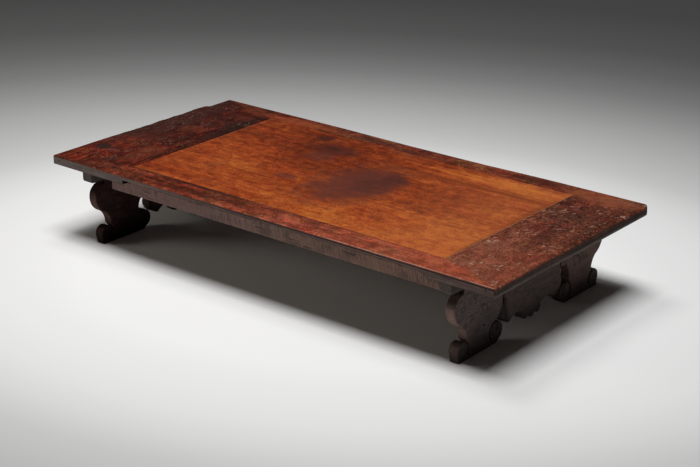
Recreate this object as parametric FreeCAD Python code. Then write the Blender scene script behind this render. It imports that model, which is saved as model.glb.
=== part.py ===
"""Low kang table: a mitred frame-and-panel top carried on two scroll-cut board ends.

Frame of the part: +X along the table, +Y to the rear, +Z up, with the origin on the
floor under the middle of the top. All sizes are in millimetres.
"""
import FreeCAD, Part
import math
import os

# Overall size
LENGTH = 1600.0
WIDTH = 764.0
HEIGHT = 262.0

# Top frame: two rails and two wide end boards, mitred from inner to outer corner
TOP_THICKNESS = 26.0
FRONT_RAIL_WIDTH = 83.0
REAR_RAIL_WIDTH = 68.0
LEFT_END_WIDTH = 263.0
RIGHT_END_WIDTH = 208.0
CORNER_RADIUS = 6.0
WORN_CORNER_RADIUS = 18.0
TOP_ARRIS = 4.0

# Strip that has split off the rear left corner
LOST_STRIP_LENGTH = 98.0
LOST_STRIP_WIDTH = 17.0

# Corner joints: blind tenons on the rails, a peg through each, a pin through each mitre tip
CORNER_TENON_WIDTH = 28.0
CORNER_TENON_THICKNESS = 8.0
CORNER_TENON_SETBACK = 45.0
CORNER_PEG_SETBACK = 80.0
CORNER_PEG_SHARE = 0.85
MITRE_PIN_SETBACK = 27.0
MITRE_PIN_LENGTH = 58.0
MITRE_PIN_RADIUS = 2.6

# Floating panel of three boards, tongued into the frame all round
PANEL_THICKNESS = 16.0
PANEL_GAP = 0.5
TONGUE_THICKNESS = 6.0
TONGUE_LENGTH = 10.0
FRONT_BOARD_WIDTH = 205.0
REAR_BOARD_WIDTH = 125.0
SEAM_PIN_LENGTH = 44.0
SEAM_PIN_RADIUS = 2.5
SEAM_PIN_SHARES = (0.12, 0.34, 0.66, 0.88)

# Battens that slide in dovetail housings under the panel
BATTEN_WIDTH = 42.0
BATTEN_HEIGHT = 22.0
BATTEN_TENON_WIDTH = 30.0
BATTEN_TENON_SHARE = 0.36
BATTEN_TENON_HEIGHT_SHARE = 0.7
DOVETAIL_DEPTH = 5.0
DOVETAIL_NECK = 26.0
DOVETAIL_CROWN = 33.0
BATTEN_SHARES = (0.2, 0.5, 0.8)

# Long aprons, let into a rebate under the lip of each rail
APRON_THICKNESS = 22.0
APRON_HEIGHT = 37.0
RAIL_LIP = 13.0
REBATE_LEFT_INSET = 297.0
REBATE_RIGHT_INSET = 202.0
REBATE_RAMP = 28.0
APRON_LEFT_LAP = 43.0
APRON_TENON_LENGTH = 12.0
APRON_TENON_THICKNESS = 12.0
APRON_TENON_HEIGHT = 14.0
APRON_PEG_LENGTH = 36.0
APRON_PEG_SHARES = (0.06, 0.26, 0.47, 0.68, 0.9)

# Cleats across the underside that carry the board ends
END_INSET = 130.0
CLEAT_WIDTH = 36.0
CLEAT_HEIGHT = 29.0
CLEAT_EAR_RADIUS = 8.0
CLEAT_DOWEL_RADIUS = 6.0
CLEAT_DOWEL_IN_TOP = 14.0
CLEAT_DOWEL_IN_CLEAT = 20.0

# Leg boards: u runs in from the long edge of the table, z up from the floor
LEG_THICKNESS = 30.0
LEG_SETBACK = 19.0
LEG_WIDTH = 223.0
CREST_REACH = 41.0
NOTCH_DROP = 14.0
WAIST_DEPTH = 57.0
WAIST_RISE = 5.0
BELLY_SHARE = 0.74
OGEE_SHARE = 0.55
OUTER_SCROLL_SHARE = 0.116
INNER_SCROLL_SHARE = 0.135
SCROLL_SET_SHARE = 0.65
SCROLL_LIFT_SHARE = 0.034
OUTER_HEEL_TURN = 15.0
INNER_HEEL_TURN = 55.0
SLIT_WIDTH = 6.0
SLIT_SWEEP = 30.0
INNER_INSET = 3.5
HOLLOW_TOP_SHARE = 0.565
DEEP_HOLLOW_DEPTH = 43.0
DEEP_HOLLOW_SHARE = 0.425
SHALLOW_HOLLOW_DEPTH = 12.0
SHALLOW_HOLLOW_SHARE = 0.39

# End aprons between the leg boards: v runs out from the middle of the table
SLOT_WIDTH = 7.0
FLARE = 11.0
FLARE_TOP_SHARE = 0.604
HORN_SHARE = 0.391
TIP_REACH_SHARE = 0.775
TIP_SHARE = 0.193
ARCH_REACH_SHARE = 0.585
ARCH_SHARE = 0.266
PENDANT_RADIUS_SHARE = 0.118
PENDANT_REACH_SHARE = 0.21
PENDANT_DROP = 22.0
PENDANT_START = 25.0
CENTRE_DROP = 18.0

# Tenons of the leg boards and end aprons, in the cleats
END_TENON_WIDTH = 44.0
END_TENON_THICKNESS = 13.0
END_TENON_HEIGHT = 22.0
END_TENON_SHARES = (0.25, 0.75)

# Pegs and fits
PEG_SIDES = 8
PEG_RADIUS = 3.5
FIT = 0.1
MORTISE_END_GAP = 1.0
OVERRUN = 20.0

# Places worked out from the sizes above
X_RIGHT = LENGTH / 2
X_LEFT = -X_RIGHT
Y_REAR = WIDTH / 2
Y_FRONT = -Y_REAR
Z_UNDER = HEIGHT - TOP_THICKNESS
LEG_HEIGHT = Z_UNDER - CLEAT_HEIGHT
PANEL_LEFT = X_LEFT + LEFT_END_WIDTH
PANEL_RIGHT = X_RIGHT - RIGHT_END_WIDTH
PANEL_FRONT = Y_FRONT + FRONT_RAIL_WIDTH
PANEL_REAR = Y_REAR - REAR_RAIL_WIDTH
PANEL_LENGTH = PANEL_RIGHT - PANEL_LEFT
PANEL_UNDER = HEIGHT - PANEL_THICKNESS
FRONT_SEAM = PANEL_FRONT + FRONT_BOARD_WIDTH
REAR_SEAM = PANEL_REAR - REAR_BOARD_WIDTH
BATTEN_PLACES = [PANEL_LEFT + share * PANEL_LENGTH for share in BATTEN_SHARES]
BATTEN_TENON_TOP = Z_UNDER + BATTEN_TENON_HEIGHT_SHARE * (PANEL_UNDER - Z_UNDER)
END_FACE = X_RIGHT - END_INSET
CLEAT_INNER = END_FACE - CLEAT_WIDTH
REBATE_LEFT = X_LEFT + REBATE_LEFT_INSET
REBATE_RIGHT = X_RIGHT - REBATE_RIGHT_INSET
APRON_LEFT = REBATE_LEFT - APRON_LEFT_LAP
APRON_TOP = HEIGHT - RAIL_LIP
APRON_BOTTOM = APRON_TOP - APRON_HEIGHT
APRON_PEG_Z = (Z_UNDER + APRON_TOP) / 2
LEG_INNER = LEG_SETBACK + LEG_WIDTH - INNER_INSET
LEG_CREST = LEG_SETBACK + CREST_REACH
OUTER_SCROLL_RADIUS = OUTER_SCROLL_SHARE * LEG_HEIGHT
INNER_SCROLL_RADIUS = INNER_SCROLL_SHARE * LEG_HEIGHT
SCROLL_LIFT = SCROLL_LIFT_SHARE * LEG_HEIGHT
END_APRON_REACH = WIDTH / 2 - LEG_INNER - SLOT_WIDTH
PENDANT_RADIUS = PENDANT_RADIUS_SHARE * END_APRON_REACH

FRONT = -1
REAR = 1
LEFT = -1
RIGHT = 1


def box(xs, ys, zs):
    """A block between two x, two y and two z values, given in either order."""
    low = FreeCAD.Vector(min(xs), min(ys), min(zs))
    return Part.makeBox(abs(xs[1] - xs[0]), abs(ys[1] - ys[0]), abs(zs[1] - zs[0]), low)


def prism(points, direction):
    """A solid from a closed polygon, pushed along a direction."""
    return Part.Face(Part.makePolygon(points + points[:1])).extrude(direction)


def plan_prism(points, low, high):
    """A vertical solid from a polygon drawn in plan."""
    corners = [FreeCAD.Vector(x, y, low) for x, y in points]
    return prism(corners, FreeCAD.Vector(0, 0, high - low))


def rod(base, axis, radius, length):
    """A hand-cut peg with flat sides, from its base along one of the part's axes."""
    across = FreeCAD.Vector(axis.z, axis.x, axis.y)
    other = axis.cross(across)
    corners = []
    for index in range(PEG_SIDES):
        angle = math.pi * (2 * index + 1) / PEG_SIDES
        corners.append(base + across * (radius * math.cos(angle)) + other * (radius * math.sin(angle)))
    return prism(corners, axis * length)


def hole(base, axis, radius, length):
    """The hole for a peg of this radius, which it fits with the named clearance."""
    return rod(base, axis, radius + FIT, length)


def bend(start, heading, end):
    """The middle point, and the last heading, of the arc that leaves start along heading."""
    run = end[0] - start[0]
    rise = end[1] - start[1]
    turn = math.remainder(math.atan2(rise, run) - heading, 2 * math.pi)
    bulge = math.tan(turn / 2) / 2
    middle = ((start[0] + end[0]) / 2 + rise * bulge, (start[1] + end[1]) / 2 - run * bulge)
    return middle, heading + 2 * turn


def polar(centre, radius, degrees):
    """The point of a circle at an angle."""
    angle = math.radians(degrees)
    return (centre[0] + radius * math.cos(angle), centre[1] + radius * math.sin(angle))


def outline_face(strokes, place):
    """A face from strokes of two points (a line) or three points (an arc)."""
    edges = []
    for stroke in strokes:
        points = [place(point) for point in stroke]
        curve = Part.LineSegment(*points) if len(points) == 2 else Part.Arc(*points)
        edges.append(curve.toShape())
    return Part.Face(Part.Wire(Part.sortEdges(edges)[0]))


# Top frame

def is_upright(edge):
    """Whether an edge is a vertical line."""
    ends = [vertex.Point for vertex in edge.Vertexes]
    return len(ends) == 2 and abs(ends[0].z - ends[1].z) > TOP_THICKNESS / 2


def top_blank():
    """The whole top as one board with its worn corners, rounded arris and lost strip."""
    step_x = X_LEFT + LOST_STRIP_WIDTH
    step_y = Y_REAR - LOST_STRIP_LENGTH
    blank = plan_prism([(X_LEFT, Y_FRONT), (X_RIGHT, Y_FRONT), (X_RIGHT, Y_REAR),
                        (step_x, Y_REAR), (step_x, step_y), (X_LEFT, step_y)], Z_UNDER, HEIGHT)
    upright = [edge for edge in blank.Edges if is_upright(edge)]
    worn = [edge for edge in upright if edge.CenterOfMass.x > 0 and edge.CenterOfMass.y > 0]
    sharp = [edge for edge in upright if edge not in worn]
    blank = blank.makeFillet(CORNER_RADIUS, sharp)
    upright = [edge for edge in blank.Edges if is_upright(edge)]
    worn = [edge for edge in upright
            if edge.CenterOfMass.x > X_RIGHT - CORNER_RADIUS / 2
            and edge.CenterOfMass.y > Y_REAR - CORNER_RADIUS / 2]
    blank = blank.makeFillet(WORN_CORNER_RADIUS, worn)
    rim = [edge for edge in blank.Edges if edge.BoundBox.ZMin > HEIGHT - TOP_ARRIS / 2]
    return blank.makeFillet(TOP_ARRIS, rim)


def groove():
    """The room that the panel's tongue needs in all four frame members."""
    reach = TONGUE_LENGTH + PANEL_GAP
    return box((PANEL_LEFT - reach, PANEL_RIGHT + reach),
               (PANEL_FRONT - reach, PANEL_REAR + reach),
               (PANEL_UNDER, PANEL_UNDER + TONGUE_THICKNESS + FIT))


def rail_middle(side):
    """The y of a rail's centre line, which its corner tenons follow."""
    inner = PANEL_FRONT if side == FRONT else PANEL_REAR
    return (side * WIDTH / 2 + inner) / 2


def corner_tenons(side, fit):
    """The long blind tenons at both ends of a rail, or with a fit the mortises for them."""
    middle = rail_middle(side)
    half = CORNER_TENON_WIDTH / 2 + fit
    low = HEIGHT - TOP_THICKNESS / 2 - CORNER_TENON_THICKNESS / 2
    end_gap = MORTISE_END_GAP if fit else 0
    return box((X_LEFT + CORNER_TENON_SETBACK - end_gap, X_RIGHT - CORNER_TENON_SETBACK + end_gap),
               (middle - half, middle + half),
               (low - fit, low + CORNER_TENON_THICKNESS + fit))


def corner_pegs(make, side):
    """A peg, or its hole, up through the tenon at each end of a rail."""
    up = FreeCAD.Vector(0, 0, 1)
    length = CORNER_PEG_SHARE * TOP_THICKNESS
    places = (X_LEFT + CORNER_PEG_SETBACK, X_RIGHT - CORNER_PEG_SETBACK)
    return [make(FreeCAD.Vector(x, rail_middle(side), Z_UNDER), up, PEG_RADIUS, length) for x in places]


def mitre_pins(make, side):
    """A pin, or its hole, driven in from the long edge through the tip of each mitre."""
    inward = FreeCAD.Vector(0, -side, 0)
    height = HEIGHT - TOP_THICKNESS / 2
    places = (X_LEFT + MITRE_PIN_SETBACK, X_RIGHT - MITRE_PIN_SETBACK)
    return [make(FreeCAD.Vector(x, side * WIDTH / 2, height), inward, MITRE_PIN_RADIUS, MITRE_PIN_LENGTH)
            for x in places]


def apron_pegs(make, side):
    """The pegs, or their holes, through the upper edge of a long apron into its rail."""
    inward = FreeCAD.Vector(0, -side, 0)
    span = CLEAT_INNER - APRON_LEFT
    return [make(FreeCAD.Vector(APRON_LEFT + share * span, side * WIDTH / 2, APRON_PEG_Z),
                 inward, PEG_RADIUS, APRON_PEG_LENGTH)
            for share in APRON_PEG_SHARES]


def rebate(side):
    """The rebate under a rail's lip, square at its left end and ramped at its right."""
    outer = side * WIDTH / 2
    profile = [(REBATE_LEFT, Z_UNDER), (REBATE_LEFT, APRON_TOP),
               (REBATE_RIGHT - REBATE_RAMP, APRON_TOP), (REBATE_RIGHT, Z_UNDER)]
    corners = [FreeCAD.Vector(x, outer, z) for x, z in profile]
    return prism(corners, FreeCAD.Vector(0, -side * APRON_THICKNESS, 0))


def batten_tenon_end(side, end_gap):
    """The y where the tenons of the battens, or with a gap their notches, end in a rail."""
    inner, width = (PANEL_FRONT, FRONT_RAIL_WIDTH) if side == FRONT else (PANEL_REAR, REAR_RAIL_WIDTH)
    return inner + side * (BATTEN_TENON_SHARE * width + end_gap)


def batten_notches(side):
    """The notches in a rail's underside for the tenons of the battens."""
    inner = PANEL_FRONT if side == FRONT else PANEL_REAR
    half = BATTEN_TENON_WIDTH / 2 + FIT
    return [box((x - half, x + half), (inner, batten_tenon_end(side, MORTISE_END_GAP)),
                (Z_UNDER, BATTEN_TENON_TOP + FIT))
            for x in BATTEN_PLACES]


def rail(blank, side):
    """A long rail, mitred at both ends, with its tenons, groove, rebate and notches."""
    inner = PANEL_FRONT if side == FRONT else PANEL_REAR
    outer = side * WIDTH / 2
    region = plan_prism([(X_LEFT, outer), (X_RIGHT, outer), (PANEL_RIGHT, inner), (PANEL_LEFT, inner)],
                        Z_UNDER, HEIGHT)
    shape = blank.common(region)
    tenons = corner_tenons(side, 0).cut(box((PANEL_LEFT, PANEL_RIGHT), (Y_FRONT, Y_REAR),
                                            (Z_UNDER, HEIGHT)))
    shape = shape.fuse(tenons).removeSplitter()
    cutters = [groove(), rebate(side)] + batten_notches(side)
    cutters += corner_pegs(hole, side) + mitre_pins(hole, side) + apron_pegs(hole, side)
    return shape.cut(cutters)


def end_board(blank, end):
    """A wide end board, grooved for the panel and mortised for the rails' tenons."""
    outer = X_LEFT if end == LEFT else X_RIGHT
    inner = PANEL_LEFT if end == LEFT else PANEL_RIGHT
    region = plan_prism([(outer, Y_FRONT), (inner, PANEL_FRONT), (inner, PANEL_REAR), (outer, Y_REAR)],
                        Z_UNDER, HEIGHT)
    shape = blank.common(region)
    cutters = [groove()] + cleat_dowels(hole, end)
    for side in (FRONT, REAR):
        cutters += [corner_tenons(side, FIT)] + corner_pegs(hole, side) + mitre_pins(hole, side)
    return shape.cut(cutters)


# Panel

def seam_pins(make):
    """The pins, or their holes, that line up the panel's boards at both seams."""
    across = FreeCAD.Vector(0, 1, 0)
    height = (PANEL_UNDER + DOVETAIL_DEPTH + HEIGHT) / 2
    pins = []
    for seam in (FRONT_SEAM, REAR_SEAM):
        for share in SEAM_PIN_SHARES:
            base = FreeCAD.Vector(PANEL_LEFT + share * PANEL_LENGTH, seam - SEAM_PIN_LENGTH / 2, height)
            pins.append(make(base, across, SEAM_PIN_RADIUS, SEAM_PIN_LENGTH))
    return pins


def dovetail(x, fit):
    """A batten's dovetail tongue, or with a fit the housing for it."""
    flank = (DOVETAIL_CROWN - DOVETAIL_NECK) / 2 / DOVETAIL_DEPTH
    neck = DOVETAIL_NECK / 2 + fit
    crown = neck + flank * (DOVETAIL_DEPTH + fit)
    top = PANEL_UNDER + DOVETAIL_DEPTH + fit
    length = PANEL_REAR - PANEL_FRONT
    corners = [FreeCAD.Vector(x + across, PANEL_FRONT, z)
               for across, z in ((-neck, PANEL_UNDER), (neck, PANEL_UNDER), (crown, top), (-crown, top))]
    return prism(corners, FreeCAD.Vector(0, length, 0))


def panel():
    """The panel as one sheet: full thickness in the opening, tongued all round."""
    body = box((PANEL_LEFT + PANEL_GAP, PANEL_RIGHT - PANEL_GAP),
               (PANEL_FRONT + PANEL_GAP, PANEL_REAR - PANEL_GAP), (PANEL_UNDER, HEIGHT))
    tongue = box((PANEL_LEFT - TONGUE_LENGTH, PANEL_RIGHT + TONGUE_LENGTH),
                 (PANEL_FRONT - TONGUE_LENGTH, PANEL_REAR + TONGUE_LENGTH),
                 (PANEL_UNDER, PANEL_UNDER + TONGUE_THICKNESS))
    sheet = body.fuse(tongue).removeSplitter()
    return sheet.cut([dovetail(x, FIT) for x in BATTEN_PLACES] + seam_pins(hole))


def panel_board(sheet, near, far):
    """The board of the panel between two y values."""
    strip = box((X_LEFT, X_RIGHT), (near, far), (Z_UNDER, HEIGHT))
    return sheet.common(strip)


def batten(x):
    """A batten with its dovetail tongue and a bare tenon at each end."""
    body = box((x - BATTEN_WIDTH / 2, x + BATTEN_WIDTH / 2), (PANEL_FRONT + FIT, PANEL_REAR - FIT),
               (PANEL_UNDER - BATTEN_HEIGHT, PANEL_UNDER))
    tenon = box((x - BATTEN_TENON_WIDTH / 2, x + BATTEN_TENON_WIDTH / 2),
                (batten_tenon_end(FRONT, 0), batten_tenon_end(REAR, 0)),
                (Z_UNDER, BATTEN_TENON_TOP))
    return body.fuse([dovetail(x, 0), tenon]).removeSplitter()


# Long aprons

def apron_tenon(side, fit):
    """The stub tenon at an apron's right end, or with a fit the mortise for it."""
    middle = side * (WIDTH / 2 - APRON_THICKNESS / 2)
    half = APRON_TENON_THICKNESS / 2 + fit
    half_height = APRON_TENON_HEIGHT / 2 + fit
    height = (APRON_BOTTOM + Z_UNDER) / 2
    end_gap = MORTISE_END_GAP if fit else 0
    return box((CLEAT_INNER, CLEAT_INNER + APRON_TENON_LENGTH + end_gap),
               (middle - half, middle + half), (height - half_height, height + half_height))


def long_apron(side):
    """A long apron, flush under the rail's lip, with a slack ramp at its left end."""
    outer = side * WIDTH / 2
    profile = [(APRON_LEFT, APRON_BOTTOM), (CLEAT_INNER, APRON_BOTTOM), (CLEAT_INNER, Z_UNDER),
               (REBATE_RIGHT, Z_UNDER), (REBATE_RIGHT - REBATE_RAMP, APRON_TOP),
               (REBATE_LEFT + REBATE_RAMP, APRON_TOP), (REBATE_LEFT, Z_UNDER), (APRON_LEFT, Z_UNDER)]
    corners = [FreeCAD.Vector(x, outer, z) for x, z in profile]
    board = prism(corners, FreeCAD.Vector(0, -side * APRON_THICKNESS, 0))
    board = board.fuse(apron_tenon(side, 0)).removeSplitter()
    return board.cut(apron_pegs(hole, side))


# Cleats and board ends

def end_span(end, thickness):
    """The two x values of a board of this thickness whose outer face is the end face."""
    return (end * END_FACE, end * (END_FACE - thickness))


def leg_tenon_places():
    """Where the tenons of a leg board stand, as u."""
    return [LEG_CREST + share * (LEG_INNER - LEG_CREST) for share in END_TENON_SHARES]


def end_tenon_places():
    """The y of every tenon that a cleat takes."""
    legs = [side * (WIDTH / 2 - u) for side in (FRONT, REAR) for u in leg_tenon_places()]
    aprons = [END_APRON_REACH * (2 * share - 1) for share in END_TENON_SHARES]
    return legs + aprons


def end_tenon(end, y, fit):
    """One tenon standing on a leg board or end apron, or with a fit the mortise for it."""
    middle = end * (END_FACE - LEG_THICKNESS / 2)
    half = END_TENON_THICKNESS / 2 + fit
    half_width = END_TENON_WIDTH / 2 + fit
    end_gap = MORTISE_END_GAP if fit else 0
    return box((middle - half, middle + half), (y - half_width, y + half_width),
               (LEG_HEIGHT, LEG_HEIGHT + END_TENON_HEIGHT + end_gap))


def tenon_pegs(make, end):
    """The pegs, or their holes, through a cleat and each tenon in it."""
    inward = FreeCAD.Vector(-end, 0, 0)
    height = LEG_HEIGHT + END_TENON_HEIGHT / 2
    return [make(FreeCAD.Vector(end * END_FACE, y, height), inward, PEG_RADIUS, CLEAT_WIDTH)
            for y in end_tenon_places()]


def cleat_dowels(make, end):
    """The blind dowels, or their holes, that hold a cleat up against its end board."""
    up = FreeCAD.Vector(0, 0, 1)
    middle = end * (END_FACE - CLEAT_WIDTH / 2)
    reach = WIDTH / 2 - (LEG_CREST + LEG_INNER) / 2
    length = CLEAT_DOWEL_IN_CLEAT + CLEAT_DOWEL_IN_TOP
    return [make(FreeCAD.Vector(middle, y, Z_UNDER - CLEAT_DOWEL_IN_CLEAT), up, CLEAT_DOWEL_RADIUS, length)
            for y in (-reach, 0, reach)]


def cleat(end):
    """A cleat across the underside, whose rounded ends show as ears at both long edges."""
    span = end_span(end, CLEAT_WIDTH)
    block = box(span, (Y_FRONT, Y_REAR), (LEG_HEIGHT, Z_UNDER))
    low_ends = [edge for edge in block.Edges
                if edge.BoundBox.ZMax < LEG_HEIGHT + CLEAT_HEIGHT / 2
                and edge.BoundBox.YLength < WIDTH / 2]
    block = block.makeFillet(CLEAT_EAR_RADIUS, low_ends)
    cutters = [end_tenon(end, y, FIT) for y in end_tenon_places()]
    cutters += tenon_pegs(hole, end) + cleat_dowels(hole, end)
    if end == RIGHT:
        cutters += [apron_tenon(side, FIT) for side in (FRONT, REAR)]
    return block.cut(cutters)


def scroll_strokes(centre, radius, flip, heel_turn):
    """A foot scroll with its slit, traced from the slit's mouth round and down to the sole.

    The slit lies towards +u, or towards -u when flip is -1. The scroll turns by heel_turn past its
    widest point and runs on straight to the sole.
    """
    slit_radius = radius + SLIT_WIDTH
    mouth = math.degrees(math.acos(SCROLL_SET_SHARE * radius / slit_radius))
    heel = 180 + heel_turn

    def at(reach, degrees):
        offset = polar((0, 0), reach, degrees)
        return (centre[0] + flip * offset[0], centre[1] + offset[1])

    cap = polar((0, 0), radius + SLIT_WIDTH / 2, -SLIT_SWEEP)
    beyond = polar(cap, SLIT_WIDTH / 2, -SLIT_SWEEP - 90)
    cap_middle = (centre[0] + flip * beyond[0], centre[1] + beyond[1])
    head_middle = (heel - SLIT_SWEEP) / 2
    heel_point = at(radius, heel)
    sole_end = (heel_point[0] + flip * heel_point[1] * math.tan(math.radians(heel)), 0)
    return [
        (at(slit_radius, mouth), at(slit_radius, (mouth - SLIT_SWEEP) / 2), at(slit_radius, -SLIT_SWEEP)),
        (at(slit_radius, -SLIT_SWEEP), cap_middle, at(radius, -SLIT_SWEEP)),
        (at(radius, -SLIT_SWEEP), at(radius, head_middle), heel_point),
        (heel_point, sole_end),
    ]


def leg_strokes(hollow_depth, hollow_share):
    """The scroll-cut outline of a leg board, as lines and arcs in u and z."""
    down = -math.pi / 2
    outer_u = LEG_SETBACK + WAIST_DEPTH - SCROLL_SET_SHARE * OUTER_SCROLL_RADIUS
    inner_u = LEG_SETBACK + LEG_WIDTH - INNER_SCROLL_RADIUS
    outer_foot = scroll_strokes((outer_u, OUTER_SCROLL_RADIUS + SCROLL_LIFT), OUTER_SCROLL_RADIUS, 1,
                                OUTER_HEEL_TURN)
    inner_foot = scroll_strokes((inner_u, INNER_SCROLL_RADIUS + SCROLL_LIFT), INNER_SCROLL_RADIUS, -1,
                                INNER_HEEL_TURN)
    mouth = outer_foot[0][0]
    top = (LEG_CREST, LEG_HEIGHT)
    crest = (LEG_CREST, LEG_HEIGHT - NOTCH_DROP)
    belly = (LEG_SETBACK, BELLY_SHARE * LEG_HEIGHT)
    waist = (mouth[0], mouth[1] + WAIST_RISE)
    turn = (belly[0] + OGEE_SHARE * (waist[0] - belly[0]), belly[1] + OGEE_SHARE * (waist[1] - belly[1]))
    crest_middle, _ = bend(belly, -down, crest)
    belly_middle, heading = bend(belly, down, turn)
    waist_middle, _ = bend(turn, heading, waist)
    hollow = (LEG_INNER - hollow_depth, hollow_share * LEG_HEIGHT)
    hollow_top = (LEG_INNER, HOLLOW_TOP_SHARE * LEG_HEIGHT)
    inner_top = (LEG_INNER, LEG_HEIGHT)
    return [
        (top, crest),
        (crest, crest_middle, belly),
        (belly, belly_middle, turn),
        (turn, waist_middle, waist),
        (waist, mouth),
        *outer_foot,
        (outer_foot[-1][-1], inner_foot[-1][-1]),
        *inner_foot,
        (inner_foot[0][0], hollow, hollow_top),
        (hollow_top, inner_top),
        (inner_top, top),
    ]


def leg_board(end, side):
    """A scroll-cut leg board with its two tenons; the front right one is hollowed least."""
    depth, share = DEEP_HOLLOW_DEPTH, DEEP_HOLLOW_SHARE
    if (end, side) == (RIGHT, FRONT):
        depth, share = SHALLOW_HOLLOW_DEPTH, SHALLOW_HOLLOW_SHARE

    def place(point):
        return FreeCAD.Vector(end * END_FACE, side * (WIDTH / 2 - point[0]), point[1])

    board = outline_face(leg_strokes(depth, share), place).extrude(FreeCAD.Vector(-end * LEG_THICKNESS, 0, 0))
    tenons = [end_tenon(end, side * (WIDTH / 2 - u), 0) for u in leg_tenon_places()]
    return board.fuse(tenons).removeSplitter().cut(tenon_pegs(hole, end))


def pendant_valley():
    """Where the side lobe of the pendant meets its middle lobe, as v and z."""
    centre = (PENDANT_REACH_SHARE * END_APRON_REACH, PENDANT_DROP + PENDANT_RADIUS)
    return centre, polar(centre, PENDANT_RADIUS, PENDANT_START), polar(centre, PENDANT_RADIUS,
                                                                      PENDANT_START + 180)


def end_apron_half():
    """Half of an end apron's outline, from its top corner down to the pendant's middle."""
    down = -math.pi / 2
    corner = (END_APRON_REACH, LEG_HEIGHT)
    flare_top = (END_APRON_REACH, FLARE_TOP_SHARE * LEG_HEIGHT)
    horn = (END_APRON_REACH + FLARE, HORN_SHARE * LEG_HEIGHT)
    tip = (TIP_REACH_SHARE * END_APRON_REACH, TIP_SHARE * LEG_HEIGHT)
    arch = (ARCH_REACH_SHARE * END_APRON_REACH, ARCH_SHARE * LEG_HEIGHT)
    centre, lobe_start, lobe_end = pendant_valley()
    flare_middle, _ = bend(flare_top, down, horn)
    horn_middle, _ = bend(tip, 0, horn)
    lobe_middle = polar(centre, PENDANT_RADIUS, PENDANT_START - 90)
    return [
        (corner, flare_top),
        (flare_top, flare_middle, horn),
        (horn, horn_middle, tip),
        (tip, arch, lobe_start),
        (lobe_start, lobe_middle, lobe_end),
    ]


def end_apron(end):
    """The scalloped apron between two leg boards, with its two tenons."""
    half = end_apron_half()
    mirrored = [tuple((-v, z) for v, z in stroke) for stroke in half]
    valley = half[-1][-1]
    corner = half[0][0]
    bridge = [(valley, (0, CENTRE_DROP), (-valley[0], valley[1])), (corner, (-corner[0], corner[1]))]

    def place(point):
        return FreeCAD.Vector(end * END_FACE, point[0], point[1])

    board = outline_face(half + mirrored + bridge, place).extrude(FreeCAD.Vector(-end * LEG_THICKNESS, 0, 0))
    tenons = [end_tenon(end, END_APRON_REACH * (2 * share - 1), 0) for share in END_TENON_SHARES]
    return board.fuse(tenons).removeSplitter().cut(tenon_pegs(hole, end))


def build():
    """Every piece of the table by name."""
    blank = top_blank()
    sheet = panel()
    pieces = {
        "front_rail": rail(blank, FRONT),
        "rear_rail": rail(blank, REAR),
        "left_end_board": end_board(blank, LEFT),
        "right_end_board": end_board(blank, RIGHT),
        "front_panel_board": panel_board(sheet, Y_FRONT, FRONT_SEAM),
        "middle_panel_board": panel_board(sheet, FRONT_SEAM, REAR_SEAM),
        "rear_panel_board": panel_board(sheet, REAR_SEAM, Y_REAR),
        "front_apron": long_apron(FRONT),
        "rear_apron": long_apron(REAR),
        "left_cleat": cleat(LEFT),
        "right_cleat": cleat(RIGHT),
        "left_end_apron": end_apron(LEFT),
        "right_end_apron": end_apron(RIGHT),
    }
    for name, x in zip(("left_batten", "middle_batten", "right_batten"), BATTEN_PLACES):
        pieces[name] = batten(x)
    for side_name, side in (("front", FRONT), ("rear", REAR)):
        for end_name, end in (("left", LEFT), ("right", RIGHT)):
            pieces[side_name + "_" + end_name + "_leg"] = leg_board(end, side)
    groups = {
        "corner_pegs": corner_pegs(rod, FRONT) + corner_pegs(rod, REAR),
        "mitre_pins": mitre_pins(rod, FRONT) + mitre_pins(rod, REAR),
        "apron_pegs": apron_pegs(rod, FRONT) + apron_pegs(rod, REAR),
        "tenon_pegs": tenon_pegs(rod, LEFT) + tenon_pegs(rod, RIGHT),
        "cleat_dowels": cleat_dowels(rod, LEFT) + cleat_dowels(rod, RIGHT),
        "seam_pins": seam_pins(rod),
    }
    for name, solids in groups.items():
        pieces[name] = Part.makeCompound(solids)
    return pieces


def main():
    os.makedirs("parts", exist_ok=True)
    for name, shape in build().items():
        shape.exportStep("parts/" + name + ".step")
        print(name, len(shape.Solids), "solid(s)", round(shape.Volume), "mm3", shape.isValid())


main()
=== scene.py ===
"""The looks of an old kang table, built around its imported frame.

Lengths are in metres, in the frame of the part: +X along the table, +Y to the rear, +Z up.
"""

import math
from collections import namedtuple

import bmesh
import bpy
import numpy as np
from mathutils import Matrix, Vector, noise


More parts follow.
